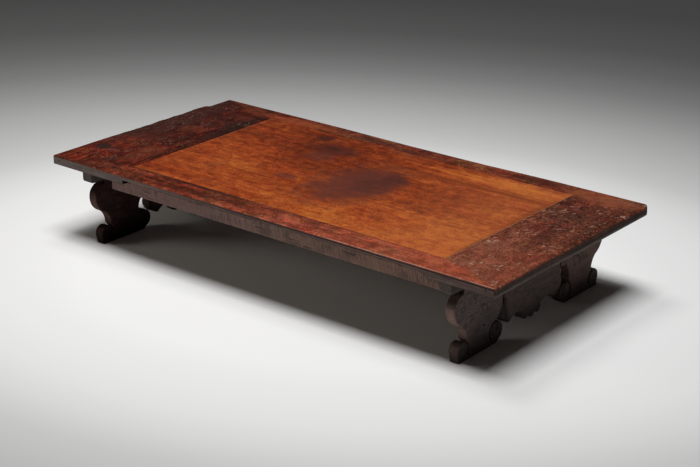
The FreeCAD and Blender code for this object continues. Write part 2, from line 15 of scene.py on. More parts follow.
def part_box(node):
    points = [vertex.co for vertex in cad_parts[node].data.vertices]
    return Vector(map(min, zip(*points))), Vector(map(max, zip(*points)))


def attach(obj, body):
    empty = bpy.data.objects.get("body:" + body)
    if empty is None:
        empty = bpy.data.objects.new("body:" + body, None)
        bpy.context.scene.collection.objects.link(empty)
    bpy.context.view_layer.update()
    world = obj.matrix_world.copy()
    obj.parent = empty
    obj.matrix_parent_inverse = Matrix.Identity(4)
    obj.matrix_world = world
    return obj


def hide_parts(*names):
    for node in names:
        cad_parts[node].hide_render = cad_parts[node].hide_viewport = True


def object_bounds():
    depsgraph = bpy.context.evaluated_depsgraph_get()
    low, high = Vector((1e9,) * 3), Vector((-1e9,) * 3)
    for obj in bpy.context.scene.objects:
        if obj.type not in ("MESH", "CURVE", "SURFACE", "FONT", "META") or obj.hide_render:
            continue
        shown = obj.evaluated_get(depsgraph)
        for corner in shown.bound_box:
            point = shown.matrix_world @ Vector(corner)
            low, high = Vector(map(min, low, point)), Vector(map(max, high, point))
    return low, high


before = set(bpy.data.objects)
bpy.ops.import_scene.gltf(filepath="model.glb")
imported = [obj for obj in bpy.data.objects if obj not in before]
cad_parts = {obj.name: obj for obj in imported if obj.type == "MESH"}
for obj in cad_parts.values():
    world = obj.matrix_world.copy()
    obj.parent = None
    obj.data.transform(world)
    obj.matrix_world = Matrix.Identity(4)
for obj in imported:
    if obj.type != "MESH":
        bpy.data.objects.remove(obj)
cad_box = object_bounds()

MM = 0.001
RIGHT_END = cad_box[1][0]
REAR_EDGE = cad_box[1][1]
TOP_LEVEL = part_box("front_rail")[1].z
CLEAT_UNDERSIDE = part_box("left_cleat")[0].z

# Camera, as the photograph was taken
CAMERA_PLACE = (2.8561, -3.5172, 1.8639)
CAMERA_HEADING = 38.689
CAMERA_PITCH = -21.350
CAMERA_ROLL = 0.302
SENSOR_WIDTH = 36.0
PHOTO_WIDTH = 700
FOCAL_PIXELS = 1663.2

# Lamps: name, place, point that it looks at, both sides of its face, power and colour
LAMPS = (("key", (1.0, -1.5, 12.0), (1.0, -1.5, 0.0), (6.0, 4.0), 1150.0, (1.0, 1.0, 1.0)),
         ("side", (-1.1, 0.3, 4.0), (-1.1, 0.3, 0.0), (1.2, 1.2), 40.0, (1.0, 1.0, 1.0)),
         ("fill", (-4.3, -3.4, 1.5), (0.0, 0.0, 0.1), (2.0, 1.6), 47.0, (1.0, 0.96, 0.84)))

# Ambient: its strength, its tone, and the tone that the camera and mirrored rays meet
AMBIENT = 0.022
AMBIENT_TONE = (1.0, 0.98, 0.9, 1.0)
SKY_TONE = (0.08, 0.08, 0.08, 1.0)

# Floor: a pale sheet with painted light, falling off into painted shade in an oval round the table; each tone
# with its distance
FLOOR_HALF = 30.0
FLOOR_CENTRE = (0.043, -0.028)
FLOOR_TURN = 19.3
FLOOR_SQUASH = 1.246
FLOOR_PAINTED_LIGHT_TONES = ((0.0, 0.88), (0.8, 0.868), (0.95, 0.822), (1.05, 0.805), (1.2, 0.765),
               (1.35, 0.685), (1.5, 0.575), (1.7, 0.495), (2.0, 0.397), (2.3, 0.295),
               (2.6, 0.21), (2.96, 0.147), (3.4, 0.104), (4.2, 0.08))

# Meshing
WELD = 2e-6
FLAT_DEGREES = 0.8
SHARP_DEGREES = 30.0
SHADE_SHARP_DEGREES = 48.0
ROUNDING_PROFILE = 0.6
ANY_HEIGHT = 1.0

# How each kind of piece is made: rounding of its edges, shortest edge that is rounded, grid steps along X, Y
# and Z, extra cuts near both ends of an axis, seed, unevenness of the faces and depth of the nicks
Form = namedtuple("Form", "rounding shortest steps near_ends seed uneven nick")
BOARD_ENDS = (3 * MM, 7 * MM)
BAR_ENDS = (3 * MM,)
RAIL_FORM = Form(0.6 * MM, 20 * MM, (7 * MM, 12 * MM, 0), BOARD_ENDS, 2.0, 0.3 * MM, 1.2 * MM)
END_BOARD_FORM = Form(0.6 * MM, 20 * MM, (12 * MM, 5 * MM, 0), BOARD_ENDS, 4.0, 0.3 * MM, 1.6 * MM)
PANEL_FORM = Form(0.4 * MM, 20 * MM, (20 * MM, 16 * MM, 0), BOARD_ENDS, 6.0, 0.3 * MM, 0.3 * MM)
APRON_FORM = Form(1.2 * MM, 15 * MM, (8 * MM, 8 * MM, 8 * MM), BAR_ENDS, 8.0, 0.4 * MM, 1.5 * MM)
CLEAT_FORM = Form(1.5 * MM, 15 * MM, (9 * MM, 8 * MM, 9 * MM), BAR_ENDS, 10.0, 0.4 * MM, 1.8 * MM)
LEG_FORM = Form(1.8 * MM, 0, (8 * MM, 5 * MM, 5 * MM), BAR_ENDS, 12.0, 0.6 * MM, 3.0 * MM)
BATTEN_FORM = Form(1.0 * MM, 15 * MM, (14 * MM, 14 * MM, 11 * MM), BAR_ENDS, 14.0, 0.3 * MM, 0.8 * MM)
END_APRON_FORM = LEG_FORM._replace(seed=16.0)
END_BOARD_LEVELS = (245 * MM, 252 * MM)

# Wear: size of the chips, size of the waves in a face, how soon a turn counts as a sharp edge, and how pale
# an edge is where nothing is chipped
CHIP_SIZE = 20 * MM
WAVE_SIZE = 100 * MM
ARRIS_GAIN = 8.0
PALE_SHARE = 0.35

# Scrolls on the feet: place across the board as a share of its width, height, radius, pitch and hand
OUTER_FOOT = (0.1857, 31.0 * MM, 24.0 * MM, 13 * MM, -1)
INNER_FOOT = (0.8744, 35.0 * MM, 28.0 * MM, 14 * MM, 1)

# Groove of a scroll: its section, where in a turn it starts, the share of the pitch that stays flat at the
# rim, and the shares of the radius between which it fades in at the eye
GROOVE_WIDTH = 2.6 * MM
GROOVE_DEPTH = 1.5 * MM
GROOVE_START = 0.12
RIM_SHARE = 0.2
EYE_SHARES = (0.1, 0.25)

# Carving: the grid that it needs, and how squarely a face looks outward to be cut and to be grooved
CARVING_STEP = 2.4 * MM
CARVED_FACING = 0.9
GROOVE_FACING = 0.6


# Meshes: each board is a copy of its CAD mesh, with rounded edges, a finer grid and wear

def smooth(value, low, high):
    """Eases from 0 to 1 as value goes from low to high."""
    share = min(1.0, max(0.0, (value - low) / (high - low)))
    return share * share * (3 - 2 * share)


def ripple(point, size, seed):
    """Smooth noise from 0 to 1 with features of about this size."""
    return 0.5 + 0.5 * noise.noise(Vector(point) / size + Vector((seed, seed * 0.7, -seed)))


def rough(point, size, seed):
    """Broken noise from 0 to 1 with features of about this size and smaller."""
    value = noise.fractal(Vector(point) / size + Vector((seed, -seed, seed * 0.3)), 0.8, 2.0, 4)
    return min(1.0, max(0.0, 0.5 + 0.5 * value))


def welded(node):
    """A CAD node's mesh with its flat faces joined."""
    mesh = bmesh.new()
    mesh.from_mesh(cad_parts[node].data)
    bmesh.ops.remove_doubles(mesh, verts=mesh.verts[:], dist=WELD)
    bmesh.ops.dissolve_limit(mesh, angle_limit=math.radians(FLAT_DEGREES),
                             verts=mesh.verts[:], edges=mesh.edges[:])
    return mesh


def round_edges(mesh, width, shortest, highest):
    """Rounds the sharp outer edges that are long enough to be seen and lie low enough."""
    sharp = math.radians(SHARP_DEGREES)
    edges = [edge for edge in mesh.edges
             if len(edge.link_faces) == 2 and edge.is_convex
             and edge.calc_face_angle(0) > sharp and edge.calc_length() > shortest
             and max(vertex.co.z for vertex in edge.verts) < highest]
    bmesh.ops.bevel(mesh, geom=edges, offset=width, offset_type="OFFSET", segments=2,
                    profile=ROUNDING_PROFILE, affect="EDGES", clamp_overlap=True)


def cut_places(low, high, step, near_ends):
    """Even cuts between two limits, and a few close to each end."""
    count = max(1, round((high - low) / step))
    places = [low + (high - low) * index / count for index in range(1, count)]
    inner = [place for place in places if low + near_ends[-1] < place < high - near_ends[-1]]
    return inner + [low + near for near in near_ends] + [high - near for near in near_ends]


def direction(axis):
    """The unit vector along an axis."""
    return Vector([float(axis == other) for other in range(3)])


def cut_all(mesh, axis, places):
    """Cuts the whole mesh by planes across an axis."""
    normal = direction(axis)
    for place in places:
        bmesh.ops.bisect_plane(mesh, geom=mesh.verts[:] + mesh.edges[:] + mesh.faces[:],
                               dist=WELD, plane_co=normal * place, plane_no=normal)


def grid_cut(mesh, node, steps, near_ends):
    """Cuts a mesh along the axes that have a step, the longest first."""
    low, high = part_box(node)
    for axis in sorted(range(3), key=lambda axis: low[axis] - high[axis]):
        if steps[axis]:
            cut_all(mesh, axis, cut_places(low[axis], high[axis], steps[axis], near_ends))


def carve_cut(mesh, scroll):
    """Cuts the outer face finely where a scroll is carved."""
    outward, centre, radius, _, _ = scroll
    count = round(radius / CARVING_STEP)
    for axis in (1, 2):
        normal = direction(axis)
        for index in range(-count, count + 1):
            faces = [face for face in mesh.faces if face.normal.x * outward > CARVED_FACING
                     and abs(face.calc_center_median().y - centre[0]) < radius
                     and abs(face.calc_center_median().z - centre[1]) < radius]
            edges = {edge for face in faces for edge in face.edges}
            verts = {vertex for edge in edges for vertex in edge.verts}
            place = centre[axis - 1] + index * CARVING_STEP
            bmesh.ops.bisect_plane(mesh, geom=[*verts, *edges, *faces], dist=WELD,
                                   plane_co=normal * place, plane_no=normal)


def groove(point, normal, scroll):
    """How deep in its groove a point of a carved scroll lies, from 0 to 1."""
    outward, centre, radius, pitch, hand = scroll
    across, rise = (point.y - centre[0]) * hand, point.z - centre[1]
    reach = math.hypot(across, rise)
    if normal.x * outward < GROOVE_FACING or reach > radius - RIM_SHARE * pitch:
        return 0.0
    turn = math.atan2(rise, across) / math.tau
    offset = (reach / pitch - turn + GROOVE_START) % 1.0 - 0.5
    eye = smooth(reach, EYE_SHARES[0] * radius, EYE_SHARES[1] * radius)
    return (1 - smooth(abs(offset) * pitch, GROOVE_WIDTH / 4, GROOVE_WIDTH)) * eye


def arris_of(vertex):
    """How much the faces round a vertex turn, from 0 on a flat to 1 on a sharp edge."""
    least = min((vertex.normal.dot(face.normal) for face in vertex.link_faces), default=1.0)
    return min(1.0, max(0.0, (1.0 - least) * ARRIS_GAIN))


def weather(mesh, form, scrolls, loss):
    """Wears a mesh inward, and returns how pale and how grimy each vertex is."""
    mesh.normal_update()
    arrises = [arris_of(vertex) for vertex in mesh.verts]
    moves, pale, grime = [], [], []
    for vertex, arris in zip(mesh.verts, arrises):
        point = vertex.co
        chip = rough(point, CHIP_SIZE, form.seed) ** 2
        cut = max((groove(point, vertex.normal, scroll) for scroll in scrolls), default=0.0)
        waves = form.uneven * ripple(point, WAVE_SIZE, form.seed)
        move = vertex.normal * -(waves + arris * form.nick * chip + cut * GROOVE_DEPTH)
        if loss:
            move += loss(point)
        moves.append(move)
        pale.append(arris * (PALE_SHARE + (1 - PALE_SHARE) * chip) * (1 - cut))
        grime.append(cut)
    for vertex, move in zip(mesh.verts, moves):
        vertex.co += move
    return pale, grime


def finish_piece(mesh, node, material, tones=None):
    """Turns a mesh into the piece that stands for a CAD node."""
    uneven = [face for face in mesh.faces if len(face.verts) > 4]
    bmesh.ops.triangulate(mesh, faces=uneven)
    data = bpy.data.meshes.new(node + "_worn")
    mesh.to_mesh(data)
    mesh.free()
    for name, values in zip(("pale", "grime"), tones or ()):
        layer = data.attributes.new(name, "FLOAT", "POINT")
        layer.data.foreach_set("value", np.array(values, np.float32))
    data.shade_smooth()
    data.set_sharp_from_angle(angle=math.radians(SHADE_SHARP_DEGREES))
    data.materials.append(material)
    piece = bpy.data.objects.new(node + "_worn", data)
    bpy.context.scene.collection.objects.link(piece)
    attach(piece, "root")
    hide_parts(node)


def worn_piece(node, material, form, highest=ANY_HEIGHT, levels=(), scrolls=(), loss=None):
    """The worn copy of a CAD node: rounded, cut into a grid, carved and weathered."""
    mesh = welded(node)
    round_edges(mesh, form.rounding, form.shortest, highest)
    grid_cut(mesh, node, form.steps, form.near_ends)
    cut_all(mesh, 2, levels)
    for scroll in scrolls:
        carve_cut(mesh, scroll)
    finish_piece(mesh, node, material, weather(mesh, form, scrolls, loss))


# Procedural wood

# Grain: features in each metre along and across it, detail, roughness and distortion of each layer
GRAIN_LAYERS = ((1.6, 12.0, 3.0, 0.5, 0.4), (5.0, 75.0, 4.0, 0.65, 0.0), (14.0, 240.0, 3.0, 0.6, 0.0),
                (60.0, 900.0, 2.0, 0.6, 0.0))
BEND_DEPTH = 60 * MM

# Noises: features in each metre along X, Y and Z, detail, roughness and distortion
BEND = ((1.4, 6.0, 6.0), 2.0)
RAGGED = ((16, 30, 8), 5.0, 0.65)
MOTTLE = ((30.0, 36.0, 30.0), 5.0, 0.62, 0.6)
TOP_SPECK = ((190.0, 220.0, 190.0), 3.0, 0.7)
HUE = ((10.0, 18.0, 10.0), 4.0, 0.62)
CURLS = ((70.0, 85.0, 70.0), 3.0, 0.6, 1.8)
CURL_PLACES = ((7.0, 9.0, 7.0), 3.0)
FLECKS = ((55.0, 105.0, 90.0), 2.0, 0.6)
FLECK_PLACES = ((11.0, 9.0, 9.0), 3.0)
SCRATCHES = ((42.0, 210.0, 90.0), 2.0, 0.6)
SCRATCH_PLACES = ((7.0, 7.0, 7.0), 3.0)
DUST = ((4.0, 60.0, 90.0), 4.0, 0.65)
POLISH = ((7.0, 10.0, 7.0), 4.0, 0.6)
STAIN = ((13.0, 13.0, 16.0), 6.0, 0.66)
BARE_SPECK = ((170.0, 170.0, 170.0), 3.0, 0.7)
CHECKS = ((13.0, 150.0, 190.0), 2.0, 0.5)
SAW_MARKS = ((330.0, 6.0, 12.0), 3.0, 0.6, 0.1)

# Turns of the marks against the grain, in radians
FLECK_TURN = 0.6
SCRATCH_TURNS = (0.35, -0.5)
SAW_TILT = 0.2

# Spots: how ragged and how soft the edge is
FIELD_EDGE = (0.35, 0.7)
STAIN_EDGE = (0.8, 0.45)
KNOT_EDGE = (0.3, 0.3)

# Cracks: how far they wander, and in how many turns to the metre
CRACK_WOBBLE = 6 * MM
CRACK_TURNS = 90.0


class Paint:
    """One procedural material, built node by node."""

    def __init__(self, name):
        self.material = bpy.data.materials.new(name)
        self.material.use_nodes = True
        self.tree = self.material.node_tree
        self.shader = self.tree.nodes["Principled BSDF"]
        self.here = self.add("ShaderNodeTexCoord").outputs["Object"]
        self.broken = None

    def add(self, kind, inputs=None, **settings):
        node = self.tree.nodes.new(kind)
        for key, value in settings.items():
            setattr(node, key, value)
        for key, value in (inputs or {}).items():
            self.feed(node.inputs[key], value)
        return node

    def feed(self, socket, value):
        if isinstance(value, bpy.types.NodeSocket):
            self.tree.links.new(value, socket)
        else:
            socket.default_value = value

    def calc(self, operation, first, second=0.0, third=0.0):
        return self.add("ShaderNodeMath", {0: first, 1: second, 2: third}, operation=operation).outputs[0]

    def product(self, *values):
        total = values[0]
        for value in values[1:]:
            total = self.calc("MULTIPLY", total, value)
        return total

    def blend(self, *parts):
        """The sum of several values, each with its share."""
        total = 0.0
        for value, share in parts:
            total = self.calc("MULTIPLY_ADD", value, share, total)
        return total

    def band(self, value, low, high, start=0.0, end=1.0):
        """Eases from start to end as value goes from low to high."""
        return self.add("ShaderNodeMapRange", {"Value": value, "From Min": low, "From Max": high,
                                               "To Min": start, "To Max": end},
                        interpolation_type="SMOOTHSTEP").outputs[0]

    def vector(self, operation, first, second=(0, 0, 0), third=(0, 0, 0)):
        return self.add("ShaderNodeVectorMath", {0: first, 1: second, 2: third}, operation=operation)

    def mapped(self, place, offset=(0, 0, 0), turn=(0, 0, 0), scale=(1, 1, 1), kind="POINT"):
        return self.add("ShaderNodeMapping", {"Vector": place, "Location": offset, "Rotation": turn,
                                              "Scale": scale}, vector_type=kind).outputs[0]

    def noise(self, place, scale, detail=3.0, roughness=0.55, distortion=0.0):
        """Noise whose scale is one number for each axis: features in each metre."""
        return self.add("ShaderNodeTexNoise",
                        {"Vector": self.mapped(place, scale=scale), "Scale": 1.0, "Detail": detail,
                         "Roughness": roughness, "Distortion": distortion}).outputs[0]

    def ramp(self, value, stops):
        node = self.add("ShaderNodeValToRGB", {"Fac": value})
        elements = node.color_ramp.elements
        elements[0].position, elements[0].color = stops[0][0], (*stops[0][1], 1.0)
        elements[1].position, elements[1].color = stops[-1][0], (*stops[-1][1], 1.0)
        for position, colour in stops[1:-1]:
            elements.new(position).color = (*colour, 1.0)
        return node.outputs[0]

    def mix(self, share, under, over, blend="MIX"):
        node = self.add("ShaderNodeMix", {0: share}, data_type="RGBA", blend_type=blend)
        for index, value in ((6, under), (7, over)):
            self.feed(node.inputs[index], (*value, 1.0) if isinstance(value, tuple) else value)
        return node.outputs[2]

    def slope(self, start, end):
        """A ramp from 0 at one point to 1 at another."""
        along = Vector(end) - Vector(start)
        away = self.vector("SUBTRACT", self.here, start).outputs[0]
        dot = self.vector("DOT_PRODUCT", away, along / along.length_squared).outputs["Value"]
        return self.band(dot, 0.0, 1.0)

    def spot(self, centre, size, degrees, ragged, soft):
        """A mask of 1 inside a ragged oval that lies in plan, fading to 0 round it."""
        self.broken = self.broken or self.noise(self.here, *RAGGED)
        inside = self.mapped(self.here, offset=(*centre, 0.0), turn=(0, 0, math.radians(degrees)),
                             scale=(*size, ANY_DEPTH), kind="TEXTURE")
        reach = self.vector("LENGTH", inside).outputs["Value"]
        reach = self.blend((self.broken, 2 * ragged), (reach, 1.0), (1.0, -ragged))
        return self.band(reach, 1.0 - soft, 1.0 + soft, 1.0, 0.0)

    def crack(self, start, end, width):
        """A mask of 1 on a ragged line on a face that looks along X."""
        start, along = Vector((0, *start)), Vector((0, end[0] - start[0], end[1] - start[1]))
        shake = self.add("ShaderNodeTexNoise", {"Vector": self.here, "Scale": CRACK_TURNS, "Detail": 2.0})
        wobble = Vector((0, CRACK_WOBBLE, CRACK_WOBBLE))
        flat = self.vector("MULTIPLY", self.here, (0, 1, 1)).outputs[0]
        flat = self.vector("MULTIPLY_ADD", shake.outputs["Color"], wobble, flat).outputs[0]
        start = start + wobble / 2
        away = self.vector("SUBTRACT", flat, start).outputs[0]
        share = self.vector("DOT_PRODUCT", away, along / along.length_squared).outputs["Value"]
        share = self.add("ShaderNodeClamp", {"Value": share}).outputs[0]
        foot = self.vector("MULTIPLY_ADD", share, along, start).outputs[0]
        distance = self.vector("DISTANCE", flat, foot).outputs["Value"]
        return self.band(distance, 0.5 * width, 1.5 * width, 1.0, 0.0)

    def facing_front(self):
        """1 on the faces that look to the front, 0 on the others."""
        normal = self.add("ShaderNodeTexCoord").outputs["Normal"]
        across = self.add("ShaderNodeSeparateXYZ", {0: normal}).outputs[1]
        return self.band(across, *FRONT_FACING, 1.0, 0.0)

    def attribute(self, name):
        return self.add("ShaderNodeAttribute", attribute_name=name).outputs["Fac"]

    def along(self, axis):
        """The place along one axis."""
        return self.add("ShaderNodeSeparateXYZ", {0: self.here}).outputs[axis]

    def grain(self, turn, seed, length=1.0):
        """Coordinates whose X runs along the grain, with a lazy bend, and four layers of figure."""
        place = self.mapped(self.here, offset=(seed, seed * 1.7, seed * 0.3), turn=(0, 0, turn))
        bend = self.calc("MULTIPLY", self.noise(place, *BEND), BEND_DEPTH)
        shift = self.add("ShaderNodeCombineXYZ", {"Y": bend}).outputs[0]
        place = self.vector("ADD", place, shift).outputs[0]
        figure = [self.noise(place, (along / length, across, across), *settings)
                  for along, across, *settings in GRAIN_LAYERS]
        return place, *figure

    def close(self, colour, roughness, height, bump_depth, specular):
        self.feed(self.shader.inputs["Base Color"], colour)
        self.feed(self.shader.inputs["Roughness"], roughness)
        self.shader.inputs["Specular IOR Level"].default_value = specular
        bump = self.add("ShaderNodeBump", {"Height": height, "Strength": 1.0, "Distance": bump_depth})
        self.feed(self.shader.inputs["Normal"], bump.outputs["Normal"])
        return self.material


# Turns of the grain, reach of a spot through the wood, and how far a normal looks to the front
ALONG_X = 0.0
ALONG_Y = math.pi / 2
ANY_DEPTH = 100.0
FRONT_FACING = (-0.85, -0.3)

# Tones of the marks: red, green and blue
BLACK = (0.006, 0.004, 0.003)
BLACKISH = (0.024, 0.01, 0.008)
CRIMSON_SHIFT = (1.04, 0.68, 0.72)
BROWN_SHIFT = (0.78, 1.08, 0.95)
DOT_TONE = (0.26, 0.13, 0.085)
FLECK_TONE = (0.4, 0.24, 0.17)
SCRATCH_TONE = (0.165, 0.093, 0.07)
EDGE_TONE = (0.113, 0.078, 0.07)
WORN_TONE = (0.26, 0.1, 0.065)
# Painted light on the faces that look to the front
FRONT_FACE_PAINTED_LIGHT = (0.26, 0.142, 0.105)

# Edges of the top: how far down they begin to look bare and are quite bare, and how softly a line ends
EDGE_START = 1.5 * MM
EDGE_FADE = 5.5 * MM
RIGHT_EDGE_FADE = 11 * MM
LINE_FADE = 0.5 * MM

# Heights below which the wood grows darker towards the bottom, and between which the shade under the crest
# sets in
LEG_DARK_BOTTOM_HEIGHT = 100 * MM
END_APRON_DARK_BOTTOM_HEIGHT = 80 * MM
# Painted shadow of the top on the front faces under the crest
CREST_SHADE = (150 * MM, 180 * MM)

# Depth of the relief, share of the shine and length of bare wood's grain
TOP_BUMP = 0.5 * MM
TOP_SPECULAR = 0.07
BARE_BUMP = 0.7 * MM
BARE_SPECULAR = 0.2
LEFT_LEG_SPECULAR = 0.04
LEFT_APRON_SPECULAR = 0.08
BARE_GRAIN_LENGTH = 0.6


def shaded(colour, share):
    """A colour made darker or lighter by a share."""
    return tuple(min(1.0, share * part) for part in colour)


def add_motley(paint, colour, amount):
    """Patches that lean to crimson or to brown."""
    hue = paint.noise(paint.here, *HUE)
    colour = paint.mix(paint.band(hue, 0.5, 0.64, 0.0, amount), colour, CRIMSON_SHIFT, "MULTIPLY")
    return paint.mix(paint.band(hue, 0.36, 0.5, amount, 0.0), colour, BROWN_SHIFT, "MULTIPLY")


def add_curls(paint, colour, tone, amount):
    """Thin dark curls in the figure."""
    swirl = paint.noise(paint.here, *CURLS)
    ridge = paint.band(paint.calc("ABSOLUTE", paint.calc("SUBTRACT", swirl, 0.5)), 0.0, 0.03, 1.0, 0.0)
    where = paint.noise(paint.here, *CURL_PLACES)
    return paint.mix(paint.product(ridge, paint.band(where, 0.42, 0.6, 0.1, 1.0), amount), colour, tone)


def add_stains(paint, colour, mottle, stains, knots):
    """Stains that the mottle breaks up, and knots."""
    for centre, size, degrees, strength, tone in stains:
        mask = paint.spot(centre, size, degrees, *STAIN_EDGE)
        mask = paint.product(mask, paint.band(mottle, 0.32, 0.62, strength * 0.6, strength))
        colour = paint.mix(mask, colour, tone)
    for centre, size, degrees, strength in knots:
        mask = paint.product(paint.spot(centre, size, degrees, *KNOT_EDGE), strength)
        colour = paint.mix(mask, colour, BLACKISH)
    return colour


def add_flecks(paint, colour, height, place, speck, amount):
    """Pale dots, and pale chips that lie deeper than the face."""
    chips = paint.noise(paint.mapped(place, turn=(0, 0, FLECK_TURN)), *FLECKS)
    where = paint.noise(paint.here, *FLECK_PLACES)
    chips = paint.product(paint.band(chips, 0.62, 0.68), paint.band(where, 0.4, 0.58, 0.1, amount))
    dots = paint.product(paint.band(speck, 0.61, 0.68), amount * 0.45)
    colour = paint.mix(chips, paint.mix(dots, colour, DOT_TONE), FLECK_TONE)
    return colour, paint.calc("MULTIPLY_ADD", chips, -1.6, height)


def add_scratches(paint, colour, height, place, amount):
    """Scratches that cross the grain both ways."""
    for lean in SCRATCH_TURNS:
        marks = paint.noise(paint.mapped(place, turn=(0, 0, lean)), *SCRATCHES)
        where = paint.noise(paint.here, *SCRATCH_PLACES)
        marks = paint.product(paint.band(marks, 0.6, 0.68), paint.band(where, 0.42, 0.58, 0.0, amount))
        colour = paint.mix(marks, colour, SCRATCH_TONE)
        height = paint.calc("MULTIPLY_ADD", marks, -1.0, height)
    return colour, height


def add_lines(paint, colour, rise, dust, lines):
    """Thin lines along an edge of the top, among them a painted highlight and a line of painted shade."""
    for axis, inside, outside, low, high, start, end, strength, tone in lines:
        mask = paint.product(paint.band(paint.along(axis), inside, outside),
                             paint.band(rise, low, low + LINE_FADE),
                             paint.band(rise, high, high + LINE_FADE, 1.0, 0.0),
                             paint.slope(start, end), paint.band(dust, 0.36, 0.5, 0.3 * strength, strength))
        colour = paint.mix(mask, colour, tone)
    return colour


def top_wood(name, seed, turn, stops, level=0.0, light=None, painted_light_tint=None, fields=(), stains=(), knots=(),
             lines=(), blotch=1.0, grit=1.0, stripe=1.0, motley=0.0, curls=0.0, flecks=0.0, scratches=0.0,
             edge=EDGE_TONE, edge_fade=EDGE_FADE, worn=WORN_TONE):
    """Waxed wood of the top, with bare, weathered edges.

    The level lightens or darkens the figure as a whole. Blotch, grit and stripe are the shares of its
    noises, and motley, curls, flecks and scratches the amounts of those marks. The light slope and the
    tint slope are painted light: a glare of the sheen that lightens the figure and turns its colour paler.
    """
    paint = Paint(name)
    place, broad, streak, fine, fibre = paint.grain(turn, seed)
    mottle = paint.noise(paint.here, *MOTTLE)
    speck = paint.noise(paint.here, *TOP_SPECK)
    layers = ((broad, 0.4 * stripe), (streak, 0.5 * stripe), (fine, 0.5 * stripe), (fibre, 0.35),
              (mottle, 0.9 * blotch), (speck, 0.9 * grit))
    figure = paint.blend(*layers, (1.0, 0.5 + level - 0.5 * sum(share for _, share in layers)))
    # Painted light: a glare that lightens the figure along a slope
    if light:
        start, end, amount = light
        figure = paint.blend((figure, 1.0), (paint.slope(start, end), amount))
    for centre, size, degrees, amount in fields:
        figure = paint.blend((figure, 1.0), (paint.spot(centre, size, degrees, *FIELD_EDGE), amount))
    colour = paint.ramp(figure, stops)
    height = paint.blend((fine, 0.5), (fibre, 0.4), (streak, 0.3), (speck, 0.4))
    if motley:
        colour = add_motley(paint, colour, motley)
    # Painted sheen: the colour turns to a paler tint along a slope
    if painted_light_tint:
        start, end, amount, tone = painted_light_tint
        colour = paint.mix(paint.product(paint.slope(start, end), amount), colour, tone)
    if curls:
        colour = add_curls(paint, colour, shaded(stops[0][1], 0.8), curls)
    colour = add_stains(paint, colour, mottle, stains, knots)
    if flecks:
        colour, height = add_flecks(paint, colour, height, place, speck, flecks)
    if scratches:
        colour, height = add_scratches(paint, colour, height, place, scratches)
    rise = paint.along(2)
    side = paint.band(rise, TOP_LEVEL - edge_fade, TOP_LEVEL - EDGE_START, 1.0, 0.0)
    dust = paint.blend((paint.noise(place, *DUST), 0.7), (mottle, 0.3))
    bare = paint.ramp(dust, ((0.3, shaded(edge, 0.4)), (0.5, edge), (0.7, shaded(edge, 1.9))))
    colour = paint.mix(side, colour, bare)
    wear = paint.product(paint.attribute("pale"), paint.band(dust, 0.38, 0.6, 0.05, 0.6))
    colour = add_lines(paint, paint.mix(wear, colour, worn), rise, dust, lines)
    polish = paint.noise(paint.here, *POLISH)
    roughness = paint.blend((paint.band(polish, 0.3, 0.7, 0.3, 0.46), 1.0), (side, 0.3))
    return paint.close(colour, roughness, height, TOP_BUMP, TOP_SPECULAR)


def add_painted_front_light_and_shade(paint, colour, figure, amount):
    """Painted light: a warmer, paler tone on the faces that look to the front; painted shadow: black on them
    under the crest, where the top casts its shade.
    """
    facing = paint.facing_front()
    share = paint.band(figure, 0.25, 0.75, 0.2 * amount, amount)
    colour = paint.mix(paint.product(facing, share), colour, FRONT_FACE_PAINTED_LIGHT)
    crest = paint.band(paint.along(2), *CREST_SHADE, 0.0, 0.8)
    return paint.mix(paint.product(facing, crest), colour, BLACK)


def add_saw_marks(paint, colour, height, place, stain, tone, amount):
    """The strokes of a saw across the grain."""
    marks = paint.noise(paint.mapped(place, turn=(0, SAW_TILT, 0)), *SAW_MARKS)
    marks = paint.product(paint.band(marks, 0.42, 0.6), paint.band(stain, 0.35, 0.6, amount * 0.2, amount))
    return paint.mix(marks, colour, tone), paint.calc("MULTIPLY_ADD", marks, -0.8, height)


